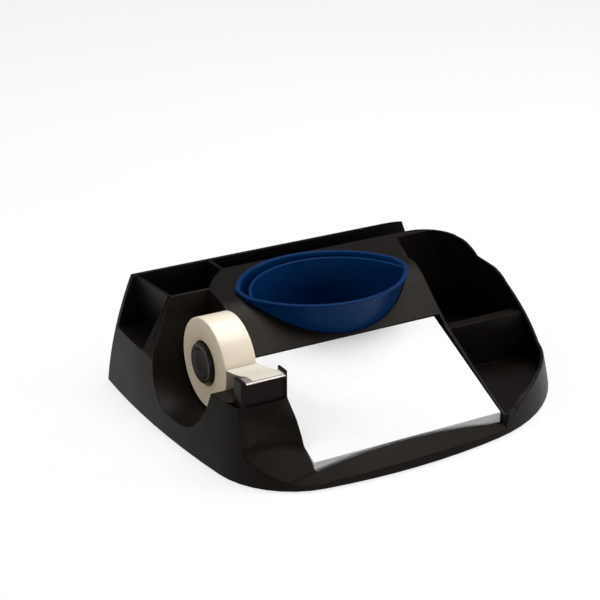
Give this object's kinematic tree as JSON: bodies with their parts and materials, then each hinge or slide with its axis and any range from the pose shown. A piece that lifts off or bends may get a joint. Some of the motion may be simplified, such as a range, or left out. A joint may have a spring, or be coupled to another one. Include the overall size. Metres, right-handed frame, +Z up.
{
  "type": "desk organizer with tape dispenser",
  "caption": "Low black desk organizer with a tape roll and cutter, a blue pen cup, a sloping memo bed, a letter slot, a bin and a two-section tray.",
  "frame": {"origin": "centre of the footprint, on the desk", "axes": "+X to the right, +Y to the rear (letter slot), +Z up"},
  "size_m": [0.238, 0.182, 0.066],
  "materials": {
    "black_plastic": "fine moulded texture",
    "hub_plastic": "satin",
    "blue_plastic": "satin",
    "cutter_steel": "brushed",
    "core_board": "matte",
    "tape_film": "satin",
    "paper": "matte",
    "rubber": "matte"
  },
  "bodies": {
    "shell": {"body_shell": "black_plastic", "cutter_blade": "cutter_steel", "tape_lead": "tape_film", "rubber_feet": "rubber"},
    "hub": {"tape_hub": "hub_plastic"},
    "roll": {"tape_core": "core_board", "tape_roll": "tape_film"},
    "cup": {"pen_cup": "blue_plastic"},
    "sheets": {"memo_sheets": "paper"}
  },
  "joints": [
    {"name": "hub_pull", "type": "slide", "parent": "shell", "child": "hub", "axis": [-1, 0, 0], "range_m": [0, 0.05]},
    {"name": "roll_turn", "type": "hinge", "parent": "shell", "child": "roll", "pos_m": [-0.0855, 0.0062, 0.0398], "axis": [1, 0, 0], "continuous": true},
    {"name": "cup_lift", "type": "slide", "parent": "shell", "child": "cup", "axis": [0, 0, 1], "range_m": [0, 0.07]},
    {"name": "sheets_lift", "type": "slide", "parent": "shell", "child": "sheets", "axis": [0, -0.4368, 0.8996], "range_m": [0, 0.03]}
  ]
}
